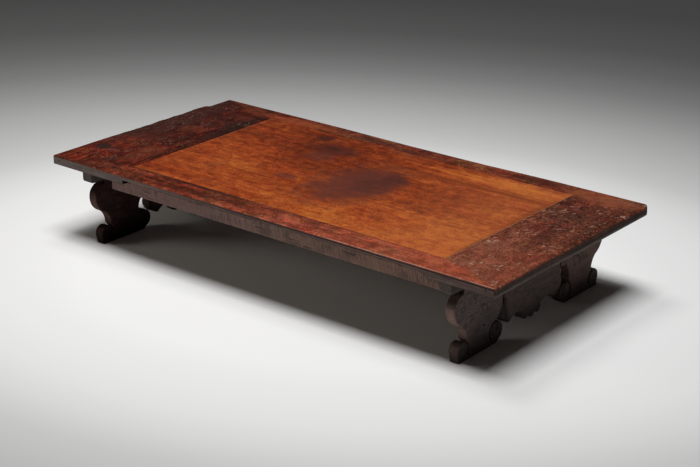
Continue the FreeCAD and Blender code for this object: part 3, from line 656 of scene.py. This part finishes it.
def bare_wood(name, seed, turn, stops, saw=0.0, grime=0.6, painted_light_tint=None, front=0.0, cracks_and_shade=(), foot_height=0.0,
              specular=BARE_SPECULAR):
    """Weathered wood with no finish: splits, grime and, on aprons, saw marks, with painted light and shade
    where asked.
    """
    paint = Paint(name)
    place, broad, streak, fine, fibre = paint.grain(turn, seed, BARE_GRAIN_LENGTH)
    stain = paint.noise(paint.here, *STAIN)
    speck = paint.noise(paint.here, *BARE_SPECK)
    figure = paint.blend((broad, 0.3), (streak, 0.5), (fine, 0.4), (fibre, 0.3), (stain, 0.9), (speck, 0.8),
                         (1.0, -1.08))
    colour = paint.ramp(figure, stops)
    # Painted light: the colour turns to a lighter, warmer tint along a slope
    if painted_light_tint:
        start, end, amount, tone = painted_light_tint
        colour = paint.mix(paint.product(paint.slope(start, end), amount), colour, tone)
    # Painted light on the faces that look to the front, and painted shadow of the top under the crest
    if front:
        colour = add_painted_front_light_and_shade(paint, colour, figure, front)
    height = paint.blend((fine, 0.8), (fibre, 0.5), (streak, 0.8), (speck, 0.5))
    dark = shaded(stops[0][1], 0.45)
    colour = paint.mix(paint.band(stain, 0.5, 0.68, 0.0, grime), colour, dark)
    splits_and_shade = paint.band(paint.noise(place, *CHECKS), 0.68, 0.72)
    # Painted shade: the wide strokes darken the slits as well as the splits
    for start, end, width in cracks_and_shade:
        splits_and_shade = paint.calc("MAXIMUM", splits_and_shade, paint.crack(start, end, width))
    colour = paint.mix(paint.product(splits_and_shade, 0.75), colour, BLACK)
    height = paint.calc("MULTIPLY_ADD", splits_and_shade, -2.5, height)
    if saw:
        colour, height = add_saw_marks(paint, colour, height, place, stain, shaded(stops[0][1], 0.9), saw)
    wear = paint.product(paint.attribute("pale"), paint.band(stain, 0.35, 0.65, 0.9, 0.15))
    colour = paint.mix(wear, colour, shaded(stops[-1][1], 1.2))
    colour = paint.mix(paint.product(paint.attribute("grime"), 0.5), colour, BLACK)
    # Darker towards the bottom
    if foot_height:
        low = paint.band(paint.along(2), 0.0, foot_height, 0.95, 0.0)
        colour = paint.mix(low, colour, dark)
    roughness = paint.band(streak, 0.3, 0.7, 0.66, 0.86)
    return paint.close(colour, roughness, height, BARE_BUMP, specular)


# Colours of the woods, from dark to light
PANEL_STOPS = ((0.0, (0.077, 0.01, 0.0027)), (0.3, (0.159, 0.0233, 0.005)), (0.5, (0.252, 0.042, 0.0086)),
               (0.7, (0.35, 0.0685, 0.0131)), (1.0, (0.535, 0.142, 0.026)))
RAIL_STOPS = ((0.0, (0.026, 0.004, 0.002)), (0.4, (0.1, 0.0165, 0.006)), (0.7, (0.21, 0.038, 0.0175)),
              (1.0, (0.44, 0.105, 0.052)))
REAR_STOPS = ((0.0, (0.026, 0.005, 0.0025)), (0.4, (0.096, 0.018, 0.008)), (0.7, (0.175, 0.041, 0.018)),
              (1.0, (0.33, 0.09, 0.035)))
LEFT_STOPS = ((0.0, (0.007, 0.0015, 0.0008)), (0.4, (0.045, 0.0048, 0.0017)), (0.7, (0.102, 0.0116, 0.0039)),
              (1.0, (0.25, 0.043, 0.018)))
RIGHT_STOPS = ((0.0, (0.028, 0.006, 0.003)), (0.4, (0.088, 0.02, 0.0105)), (0.7, (0.16, 0.038, 0.02)),
               (1.0, (0.31, 0.095, 0.052)))
LEG_STOPS = ((0.0, (0.04, 0.028, 0.025)), (0.5, (0.118, 0.085, 0.076)), (1.0, (0.27, 0.2, 0.18)))
WARM_STOPS = ((0.0, (0.046, 0.026, 0.02)), (0.5, (0.138, 0.08, 0.064)), (1.0, (0.3, 0.19, 0.155)))
# Painted shade: darker copies of the leg and end apron tones for the left end, whose inner faces lie in shade
LEFT_LEG_SHADED_STOPS = ((0.0, (0.014, 0.0064, 0.0055)), (0.5, (0.041, 0.021, 0.0185)), (1.0, (0.11, 0.066, 0.058)))
LEFT_APRON_SHADED_STOPS = ((0.0, (0.019, 0.01, 0.008)), (0.5, (0.055, 0.031, 0.026)), (1.0, (0.13, 0.082, 0.07)))
END_STOPS = ((0.0, (0.034, 0.023, 0.02)), (0.5, (0.097, 0.066, 0.056)), (1.0, (0.21, 0.15, 0.13)))
# Painted shade: the leg tones made darker and greyer, for the cleat ends in the shade under the top
CLEAT_SHADED_STOPS = ((0.0, (0.028, 0.021, 0.0185)), (0.5, (0.072, 0.055, 0.049)), (1.0, (0.15, 0.118, 0.105)))
APRON_STOPS = ((0.0, (0.075, 0.043, 0.038)), (0.5, (0.178, 0.104, 0.09)), (1.0, (0.33, 0.2, 0.172)))
PIN_STOPS = ((0.0, (0.008, 0.006, 0.005)), (0.5, (0.02, 0.014, 0.011)), (1.0, (0.04, 0.028, 0.022)))

# Tones of the stains, the bare edges and the worn arrises
PURPLE = (0.095, 0.0255, 0.0175)
MAROON = (0.06, 0.013, 0.008)
BROWN = (0.14, 0.026, 0.008)
AMBER = (0.52, 0.16, 0.028)
RUST = (0.24, 0.066, 0.028)
GREY = (0.041, 0.0112, 0.008)
RIGHT_EDGE_TONE = (0.055, 0.034, 0.028)
RIGHT_WORN_TONE = (0.14, 0.075, 0.055)
PANEL_WORN_TONE = (0.6, 0.25, 0.09)

# Painted light, slopes across a piece: a glare slope lightens it and a tint slope turns it paler; where
# each begins, where it is full and its amount, and the tint's colour
FRONT_RAIL_PAINTED_GLARE = ((-0.75, 0, 0), (0.5, 0, 0), 0.45)
REAR_RAIL_PAINTED_GLARE = ((-0.75, 0, 0), (0.75, 0, 0), 0.3)
LEFT_END_PAINTED_GLARE = ((0, 0.2, 0), (0, -0.35, 0), 0.3)
RIGHT_END_PAINTED_GLARE = ((0, 0.15, 0), (0, -0.35, 0), 0.3)
PANEL_PAINTED_GLARE = ((-0.31, 0.5, 0), (0.37, -0.59, 0), 0.5)
FRONT_RAIL_PAINTED_SHEEN = ((-0.3, 0, 0), (0.7, 0, 0), 0.35, (0.31, 0.078, 0.037))
RIGHT_END_PAINTED_SHEEN = ((0, 0.1, 0), (0, -0.35, 0), 0.35, (0.205, 0.057, 0.029))
PANEL_PAINTED_SHEEN = ((0.1, 0, 0), (0.55, 0, 0), 0.25, (0.36, 0.12, 0.05))
APRON_PAINTED_LIGHT = ((-0.3, 0, 0), (0.55, 0, 0), 0.45, (0.25, 0.145, 0.088))

# Lighter and darker fields: centre and half size in plan, turn and amount
PANEL_FIELDS = (
    ((-0.12, 0.1), (0.2, 0.17), 15.0, -0.16),
    ((-0.31, 0.27), (0.06, 0.05), 0.0, -0.12),
    ((-0.4, -0.02), (0.16, 0.14), -20.0, 0.14),
    ((0.45, 0.265), (0.2, 0.035), 0.0, 0.28),
    ((0.5, -0.16), (0.12, 0.07), 0.0, 0.1),
    ((0.23, -0.2), (0.06, 0.05), 0.0, -0.08),
    ((0.14, -0.22), (0.05, 0.05), 0.0, 0.08),
    ((0.3, 0.05), (0.14, 0.13), 0.0, -0.14),
)
REAR_FIELDS = (((0.45, 0.35), (0.09, 0.03), 0.0, -0.12),)
FRONT_FIELDS = (
    ((-0.3, -0.345), (0.16, 0.016), 0.0, -0.18),
    ((-0.05, -0.325), (0.09, 0.02), 0.0, -0.15),
    ((0.19, -0.33), (0.045, 0.03), 0.0, -0.15),
    ((0.08, -0.35), (0.05, 0.02), 0.0, 0.12),
    ((-0.5, -0.34), (0.06, 0.03), 0.0, 0.1),
    ((0.42, -0.345), (0.09, 0.015), 0.0, -0.08),
)

# Stains: centre and half size in plan, turn, strength and colour
CORNER_RUST = ((0.69, 0.335), (0.1, 0.04), 0.0, 0.8, RUST)
PANEL_STAINS_AND_SHADE = (
    ((0.065, -0.01), (0.115, 0.17), 0.0, 0.95, PURPLE),
    ((0.1, 0.03), (0.07, 0.1), 0.0, 0.8, PURPLE),
    ((0.125, 0.1), (0.035, 0.045), 30.0, 0.45, BLACKISH),
    ((0.1, 0.01), (0.045, 0.04), 0.0, 0.3, BLACKISH),
    ((-0.185, 0.2), (0.085, 0.045), 5.0, 0.85, MAROON),
    ((-0.177, 0.12), (0.05, 0.04), 0.0, 0.7, PURPLE),
    ((-0.138, -0.077), (0.035, 0.022), 10.0, 0.65, PURPLE),
    ((-0.367, -0.133), (0.03, 0.02), 0.0, 0.35, PURPLE),
    ((0.3, 0.197), (0.3, 0.011), 0.0, 0.6, BROWN),
    ((0.145, -0.283), (0.045, 0.018), 0.0, 0.4, AMBER),
    ((0.02, 0.3), (0.04, 0.01), 0.0, 0.5, RUST),
    ((0.42, 0.272), (0.2, 0.01), 0.0, 0.5, AMBER),
    ((0.32, 0.25), (0.24, 0.006), 0.0, 0.45, AMBER),
    ((0.5, 0.232), (0.12, 0.007), 0.0, 0.5, AMBER),
    # Painted shade: two soft dark bands along the right joint of the panel
    ((0.59, 0.12), (0.022, 0.13), 0.0, 0.6, (0.13, 0.03, 0.012)),
    ((0.593, -0.15), (0.01, 0.16), 0.0, 0.5, (0.14, 0.032, 0.012)),
)
PANEL_KNOTS = (((-0.27, 0.262), (0.03, 0.026), 20.0, 0.6), ((-0.19, 0.2), (0.03, 0.016), 0.0, 0.45))
LEFT_STAINS = (
    ((-0.77, 0.12), (0.06, 0.32), 0.0, 0.9, GREY),
    ((-0.68, 0.12), (0.08, 0.2), -8.0, 0.4, GREY),
    ((-0.565, 0.13), (0.022, 0.15), 0.0, 0.6, BLACKISH),
    ((-0.65, 0.075), (0.04, 0.035), 0.0, 0.5, (0.15, 0.028, 0.01)),
    ((-0.6, 0.335), (0.07, 0.03), 0.0, 0.6, (0.17, 0.034, 0.012)),
    ((-0.6, 0.26), (0.03, 0.03), 0.0, 0.4, (0.11, 0.026, 0.013)),
    ((-0.585, 0.19), (0.02, 0.04), 0.0, 0.5, BLACKISH),
    ((-0.66, -0.06), (0.06, 0.035), 10.0, 0.5, (0.035, 0.009, 0.005)),
    ((-0.6, -0.2), (0.035, 0.09), 0.0, 0.5, (0.17, 0.035, 0.013)),
)
LEFT_KNOTS = (((-0.745, -0.225), (0.03, 0.022), -15.0, 0.9), ((-0.705, -0.218), (0.014, 0.01), 0.0, 0.6),
              ((-0.645, -0.3), (0.026, 0.009), 30.0, 0.7), ((-0.6, -0.32), (0.018, 0.008), 30.0, 0.7))
RIGHT_STAINS = (
    ((0.66, 0.18), (0.08, 0.07), 0.0, 0.35, BLACKISH),
    ((0.6, 0.27), (0.025, 0.04), 0.0, 0.5, BLACKISH),
    ((0.705, 0.02), (0.03, 0.08), 0.0, 0.35, BLACKISH),
    ((0.64, -0.16), (0.03, 0.06), 0.0, 0.3, (0.24, 0.075, 0.045)),
    CORNER_RUST,
)
FRONT_RAIL_STAINS = (
    ((-0.27, -0.306), (0.15, 0.006), 0.0, 0.8, BLACKISH),
    ((0.1, -0.303), (0.5, 0.0035), 0.0, 0.5, BLACKISH),
    ((-0.2, -0.35), (0.2, 0.008), 2.0, 0.4, MAROON),
)
REAR_RAIL_STAINS = (
    ((-0.42, 0.334), (0.13, 0.022), 0.0, 0.7, (0.26, 0.054, 0.017)),
    ((-0.14, 0.345), (0.08, 0.016), 0.0, 0.6, BLACKISH),
    ((0.0, 0.325), (0.06, 0.014), 0.0, 0.5, BLACKISH),
    ((0.45, 0.35), (0.1, 0.02), 0.0, 0.6, BLACKISH),
    CORNER_RUST,
)

# Thin lines on an edge: axis, from and to along it, lower and upper limit, where the line fades in
# and where it is full, strength and colour
FRONT_LINES_HIGHLIGHT_AND_SHADE = (
    # Painted highlight: a bright line along the front arris, fading in towards the right
    (1, -0.3802, -0.3811, 260.2 * MM, 262.5 * MM, (-0.1, 0, 0), (0.4, 0, 0), 1.0, (0.95, 0.7, 0.6)),
    # Painted shade: a black line under the arris, where a shadow gap shows
    (1, -0.3795, -0.3805, 254.2 * MM, 256.6 * MM, (-0.9, 0, 0), (0.1, 0, 0), 1.0, BLACK),
    (1, -0.38, -0.381, 235.0 * MM, 257.5 * MM, (-0.2, 0, 0), (-0.75, 0, 0), 0.6, (0.17, 0.14, 0.13)),
)
RIGHT_LINES = (
    (0, 0.79, 0.794, 235.0 * MM, 242.5 * MM, (0.8, 0.5, 0), (0.8, 0.3, 0), 0.95, (0.1, 0.084, 0.075)),
    (0, 0.796, 0.798, 235.5 * MM, 237.8 * MM, (0.8, 0.36, 0), (0.8, 0.1, 0), 0.8, (0.25, 0.205, 0.18)),
)
PANEL_LINES = (
    (0, 0.5892, 0.5902, 250 * MM, 263 * MM, (0.5, -0.4, 0), (0.5, -0.2, 0), 0.25, (0.62, 0.33, 0.17)),
    (0, -0.5335, -0.5345, 250 * MM, 263 * MM, (0.0, -0.2, 0), (0.0, 0.1, 0), 0.3, (0.6, 0.26, 0.1)),
)

# Cracks, and wide black strokes of painted shade beside the slits: both ends in y and z on the outer face of
# a board end, and width
FRONT_RIGHT_CRACKS_AND_SHADE = (
    ((-0.283, 0.176), (-0.271, 0.16), 1.3 * MM),
    ((-0.262, 0.178), (-0.271, 0.16), 1.3 * MM),
    ((-0.271, 0.16), (-0.268, 0.146), 1.2 * MM),
    ((-0.238, 0.138), (-0.236, 0.112), 1.2 * MM),
    ((-0.238, 0.138), (-0.216, 0.128), 1.2 * MM),
    ((-0.216, 0.128), (-0.213, 0.108), 1.0 * MM),
    ((-0.232, 0.075), (-0.224, 0.073), 2.2 * MM),
    ((-0.335, 0.15), (-0.318, 0.165), 0.9 * MM),
    ((-0.33, 0.138), (-0.31, 0.156), 0.9 * MM),
    # Painted shade: wide black strokes beside the slit, where the shade of the apron falls
    ((-0.137, 0.12), (-0.139, 0.088), 8.0 * MM),
    ((-0.139, 0.088), (-0.163, 0.064), 10.0 * MM),
    ((-0.163, 0.064), (-0.168, 0.045), 8.0 * MM),
)
REAR_RIGHT_CRACKS_AND_SHADE = (
    ((0.204, 0.132), (0.236, 0.122), 1.4 * MM),
    ((0.206, 0.132), (0.209, 0.1), 1.4 * MM),
    ((0.222, 0.142), (0.226, 0.124), 1.2 * MM),
    ((0.236, 0.122), (0.238, 0.094), 1.2 * MM),
    # Painted shade: wide black strokes beside the slit, where the shade of the apron falls
    ((0.166, 0.112), (0.18, 0.076), 7.0 * MM),
    ((0.18, 0.076), (0.16, 0.05), 8.0 * MM),
    ((0.16, 0.05), (0.15, 0.01), 7.0 * MM),
)
RIGHT_APRON_PAINTED_SHADE = (
    # Painted shade: wide black strokes on both sides of the slit
    ((-0.134, 0.112), (-0.134, 0.08), 7.0 * MM),
    ((-0.134, 0.08), (-0.126, 0.048), 12.0 * MM),
)

# Losses at the edges of the top: where along the edge each begins and ends, how far it reaches in and
# down, how much it takes there, and the size of its bites
HOLLOW_START = (-0.35, 0.0)
HOLLOW_END = (0.2, 0.5)
HOLLOW_REACH = (16 * MM, 26 * MM)
HOLLOW_LOSS = Vector((0, -5.0 * MM, -1.0 * MM))
SPLINTER_START = (-0.2, 0.0)
SPLINTER_REACH = (20 * MM, 22 * MM)
SPLINTER_LOSS = (2.5 * MM, -3.0 * MM)
SPLINTER_SIZE = 30 * MM
WORN_START = (-0.3, -0.2)
WORN_END = (0.15, 0.34)
WORN_REACH = (16 * MM, 22 * MM)
WORN_LOSS = Vector((-6.0 * MM, 0, -7.0 * MM))
WORN_WAVES = 90 * MM
WORN_CHIPS = 40 * MM
LEAST_WORN_SHARE = 0.4


def between(place, start, end):
    """Eases in where a stretch begins and out where it ends."""
    return smooth(place, *start) * (1 - smooth(place, *end))


def rail_loss(point):
    """A shallow hollow that use has worn into the rear rail's upper arris."""
    inward, down = HOLLOW_REACH
    near = smooth(point.y, REAR_EDGE - inward, REAR_EDGE) * smooth(point.z, TOP_LEVEL - down, TOP_LEVEL)
    return HOLLOW_LOSS * between(point.x, HOLLOW_START, HOLLOW_END) * near


def left_loss(point):
    """Splintered wear along the outer edge of the left end board."""
    inward, down = SPLINTER_REACH
    near = smooth(point.y, *SPLINTER_START) * smooth(-point.x, RIGHT_END - inward, RIGHT_END)
    bite = rough((0, point.y, point.z * 0.3), SPLINTER_SIZE, 3.0)
    dip = smooth(point.z, TOP_LEVEL - down, TOP_LEVEL) * rough(point, SPLINTER_SIZE, 5.0)
    return Vector((SPLINTER_LOSS[0] * bite, 0, SPLINTER_LOSS[1] * dip)) * near


def right_loss(point):
    """The worn and chipped upper arris of the right end board."""
    inward, down = WORN_REACH
    span = LEAST_WORN_SHARE + (1 - LEAST_WORN_SHARE) * between(point.y, WORN_START, WORN_END)
    near = smooth(point.x, RIGHT_END - inward, RIGHT_END) * smooth(point.z, TOP_LEVEL - down, TOP_LEVEL)
    place = (0, point.y, 0)
    bite = 0.8 * ripple(place, WORN_WAVES, 7.0) + 0.35 * rough(place, WORN_CHIPS, 2.0) ** 2
    return WORN_LOSS * bite * span * near


# Pieces

def make_rails():
    front = top_wood("front_rail_wood", 7.0, ALONG_X, RAIL_STOPS, level=-0.19, light=FRONT_RAIL_PAINTED_GLARE,
                     painted_light_tint=FRONT_RAIL_PAINTED_SHEEN, fields=FRONT_FIELDS, stains=FRONT_RAIL_STAINS, lines=FRONT_LINES_HIGHLIGHT_AND_SHADE,
                     blotch=1.9, grit=1.8, stripe=1.6, motley=1.0, scratches=0.4)
    rear = top_wood("rear_rail_wood", 9.0, ALONG_X, REAR_STOPS, level=-0.12, light=REAR_RAIL_PAINTED_GLARE,
                    fields=REAR_FIELDS, stains=REAR_RAIL_STAINS, blotch=1.7, grit=1.8, stripe=1.4,
                    motley=0.9, scratches=0.3)
    worn_piece("front_rail", front, RAIL_FORM)
    worn_piece("rear_rail", rear, RAIL_FORM, loss=rail_loss)


def make_end_boards():
    left = top_wood("left_end_wood", 11.0, ALONG_Y, LEFT_STOPS, level=-0.27, light=LEFT_END_PAINTED_GLARE,
                    stains=LEFT_STAINS, knots=LEFT_KNOTS, blotch=1.6, grit=3.0, stripe=2.4, motley=1.0,
                    scratches=0.65)
    right = top_wood("right_end_wood", 17.0, ALONG_Y, RIGHT_STOPS, level=-0.06, light=RIGHT_END_PAINTED_GLARE,
                     painted_light_tint=RIGHT_END_PAINTED_SHEEN, stains=RIGHT_STAINS, lines=RIGHT_LINES, blotch=1.8, grit=3.0,
                     stripe=1.6, motley=0.6, flecks=1.1, scratches=0.5, edge=RIGHT_EDGE_TONE,
                     edge_fade=RIGHT_EDGE_FADE, worn=RIGHT_WORN_TONE)
    for node, material, loss in (("left_end_board", left, left_loss), ("right_end_board", right, right_loss)):
        worn_piece(node, material, END_BOARD_FORM, levels=END_BOARD_LEVELS, loss=loss)


def make_panel():
    material = top_wood("panel_wood", 3.0, ALONG_X, PANEL_STOPS, level=-0.18, light=PANEL_PAINTED_GLARE,
                        painted_light_tint=PANEL_PAINTED_SHEEN, fields=PANEL_FIELDS, stains=PANEL_STAINS_AND_SHADE, knots=PANEL_KNOTS,
                        lines=PANEL_LINES, blotch=1.3, grit=1.1, stripe=1.3, motley=0.25, curls=0.35,
                        scratches=0.12, worn=PANEL_WORN_TONE)
    for node in ("front_panel_board", "middle_panel_board", "rear_panel_board"):
        worn_piece(node, material, PANEL_FORM)


def make_aprons():
    material = bare_wood("long_apron_wood", 5.0, ALONG_X, APRON_STOPS, saw=0.8, grime=0.5, painted_light_tint=APRON_PAINTED_LIGHT)
    for node in ("front_apron", "rear_apron"):
        worn_piece(node, material, APRON_FORM)


def make_cleats():
    # Painted shade: the cleats take darker, greyer leg tones
    material = bare_wood("cleat_shaded_wood", 19.0, ALONG_Y, CLEAT_SHADED_STOPS, grime=0.3)
    for node in ("left_cleat", "right_cleat"):
        worn_piece(node, material, CLEAT_FORM)


def scrolls_on(node):
    """The two scrolls on the outer face of a leg board: way out, centre, radius, pitch and hand."""
    low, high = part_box(node)
    outward = math.copysign(1, low.x)
    side = math.copysign(1, low.y)
    edge, inner = (low.y, high.y) if side < 0 else (high.y, low.y)
    return [(outward, (edge + share * (inner - edge), height), radius, pitch, hand * side)
            for share, height, radius, pitch, hand in (OUTER_FOOT, INNER_FOOT)]


def make_legs():
    # Painted shade: the left legs take a darker copy of the leg tones
    left = bare_wood("left_leg_shaded_wood", 13.0, ALONG_Y, LEFT_LEG_SHADED_STOPS, front=0.22,
                     foot_height=LEG_DARK_BOTTOM_HEIGHT, specular=LEFT_LEG_SPECULAR)
    front_right = bare_wood("front_right_leg_wood", 14.0, ALONG_Y, LEG_STOPS, front=0.62,
                            cracks_and_shade=FRONT_RIGHT_CRACKS_AND_SHADE, foot_height=LEG_DARK_BOTTOM_HEIGHT)
    rear_right = bare_wood("rear_right_leg_wood", 15.0, ALONG_Y, WARM_STOPS, cracks_and_shade=REAR_RIGHT_CRACKS_AND_SHADE,
                           foot_height=LEG_DARK_BOTTOM_HEIGHT)
    for node, material in (("front_left_leg", left), ("front_right_leg", front_right),
                           ("rear_left_leg", left), ("rear_right_leg", rear_right)):
        worn_piece(node, material, LEG_FORM, CLEAT_UNDERSIDE - MM, scrolls=scrolls_on(node))


def make_end_aprons():
    # Painted shade: the left end apron takes a darker copy of the end apron tones
    left = bare_wood("left_end_apron_shaded_wood", 20.0, ALONG_Y, LEFT_APRON_SHADED_STOPS,
                     foot_height=END_APRON_DARK_BOTTOM_HEIGHT, specular=LEFT_APRON_SPECULAR)
    right = bare_wood("end_apron_wood", 21.0, ALONG_Y, END_STOPS, cracks_and_shade=RIGHT_APRON_PAINTED_SHADE,
                      foot_height=END_APRON_DARK_BOTTOM_HEIGHT)
    for node, material in (("left_end_apron", left), ("right_end_apron", right)):
        worn_piece(node, material, END_APRON_FORM, CLEAT_UNDERSIDE - MM)


def make_battens():
    material = bare_wood("batten_wood", 23.0, ALONG_Y, APRON_STOPS)
    for node in ("left_batten", "middle_batten", "right_batten"):
        worn_piece(node, material, BATTEN_FORM)


def make_pegs():
    pegs = bare_wood("peg_wood", 29.0, ALONG_X, WARM_STOPS)
    pins = bare_wood("pin_wood", 31.0, ALONG_X, PIN_STOPS)
    for node, material, slot in (("corner_pegs", pegs, "pegs"), ("apron_pegs", pegs, "pegs"),
                                 ("tenon_pegs", pegs, "pegs"), ("cleat_dowels", pegs, "pegs"),
                                 ("mitre_pins", pins, "pins"), ("seam_pins", pegs, "pins")):
        finish_piece(welded(node), node, material)


# Studio

def make_floor():
    """A pale floor with painted light, whose tone falls off into painted shade in an oval round the table."""
    bpy.ops.mesh.primitive_plane_add(size=2 * FLOOR_HALF, location=(0, 0, 0))
    floor = bpy.context.object
    floor.name = "floor"
    paint = Paint("floor_painted_light")
    away = paint.mapped(paint.here, offset=(*FLOOR_CENTRE, 0), turn=(0, 0, math.radians(FLOOR_TURN)),
                        scale=(1, 1 / FLOOR_SQUASH, 1), kind="TEXTURE")
    reach = paint.vector("LENGTH", away).outputs["Value"]
    longest = FLOOR_PAINTED_LIGHT_TONES[-1][0]
    stops = [(distance / longest, (tone, tone, tone)) for distance, tone in FLOOR_PAINTED_LIGHT_TONES]
    paint.feed(paint.shader.inputs["Base Color"], paint.ramp(paint.calc("DIVIDE", reach, longest), stops))
    paint.shader.inputs["Roughness"].default_value = 0.9
    paint.shader.inputs["Specular IOR Level"].default_value = 0.0
    floor.data.materials.append(paint.material)


def make_light():
    """A broad lamp overhead, a small one above the left end, a weak one at the front left and low ambient."""
    for name, place, target, sides, power, colour in LAMPS:
        lamp = bpy.data.lights.new(name, "AREA")
        lamp.shape = "RECTANGLE"
        lamp.size, lamp.size_y = sides
        lamp.energy = power
        lamp.color = colour
        holder = bpy.data.objects.new(name, lamp)
        holder.location = place
        holder.rotation_euler = (Vector(target) - Vector(place)).to_track_quat("-Z", "Y").to_euler()
        bpy.context.scene.collection.objects.link(holder)
    world = bpy.data.worlds.new("studio")
    bpy.context.scene.world = world
    world.use_nodes = True
    tree = world.node_tree
    light = tree.nodes["Background"]
    light.inputs["Color"].default_value = AMBIENT_TONE
    light.inputs["Strength"].default_value = AMBIENT
    seen = tree.nodes.new("ShaderNodeBackground")
    seen.inputs["Color"].default_value = SKY_TONE
    rays = tree.nodes.new("ShaderNodeLightPath")
    share = rays.outputs["Is Camera Ray"]
    for name in ("Is Glossy Ray", "Is Transmission Ray"):
        either = tree.nodes.new("ShaderNodeMath")
        either.operation = "MAXIMUM"
        tree.links.new(share, either.inputs[0])
        tree.links.new(rays.outputs[name], either.inputs[1])
        share = either.outputs[0]
    chosen = tree.nodes.new("ShaderNodeMixShader")
    tree.links.new(share, chosen.inputs[0])
    tree.links.new(light.outputs[0], chosen.inputs[1])
    tree.links.new(seen.outputs[0], chosen.inputs[2])
    tree.links.new(chosen.outputs[0], tree.nodes["World Output"].inputs["Surface"])


def make_camera():
    """The camera, placed where the photograph was taken."""
    data = bpy.data.cameras.new("camera")
    data.sensor_width = SENSOR_WIDTH
    data.lens = FOCAL_PIXELS / PHOTO_WIDTH * SENSOR_WIDTH
    camera = bpy.data.objects.new("camera", data)
    bpy.context.scene.collection.objects.link(camera)
    camera.matrix_world = (Matrix.Translation(CAMERA_PLACE)
                           @ Matrix.Rotation(math.radians(CAMERA_HEADING), 4, "Z")
                           @ Matrix.Rotation(math.radians(90 + CAMERA_PITCH), 4, "X")
                           @ Matrix.Rotation(math.radians(CAMERA_ROLL), 4, "Z"))
    bpy.context.scene.camera = camera


bpy.context.scene.view_settings.view_transform = "Standard"
make_camera()
make_light()
make_floor()
make_rails()
make_end_boards()
make_panel()
make_aprons()
make_cleats()
make_legs()
make_end_aprons()
make_battens()
make_pegs()
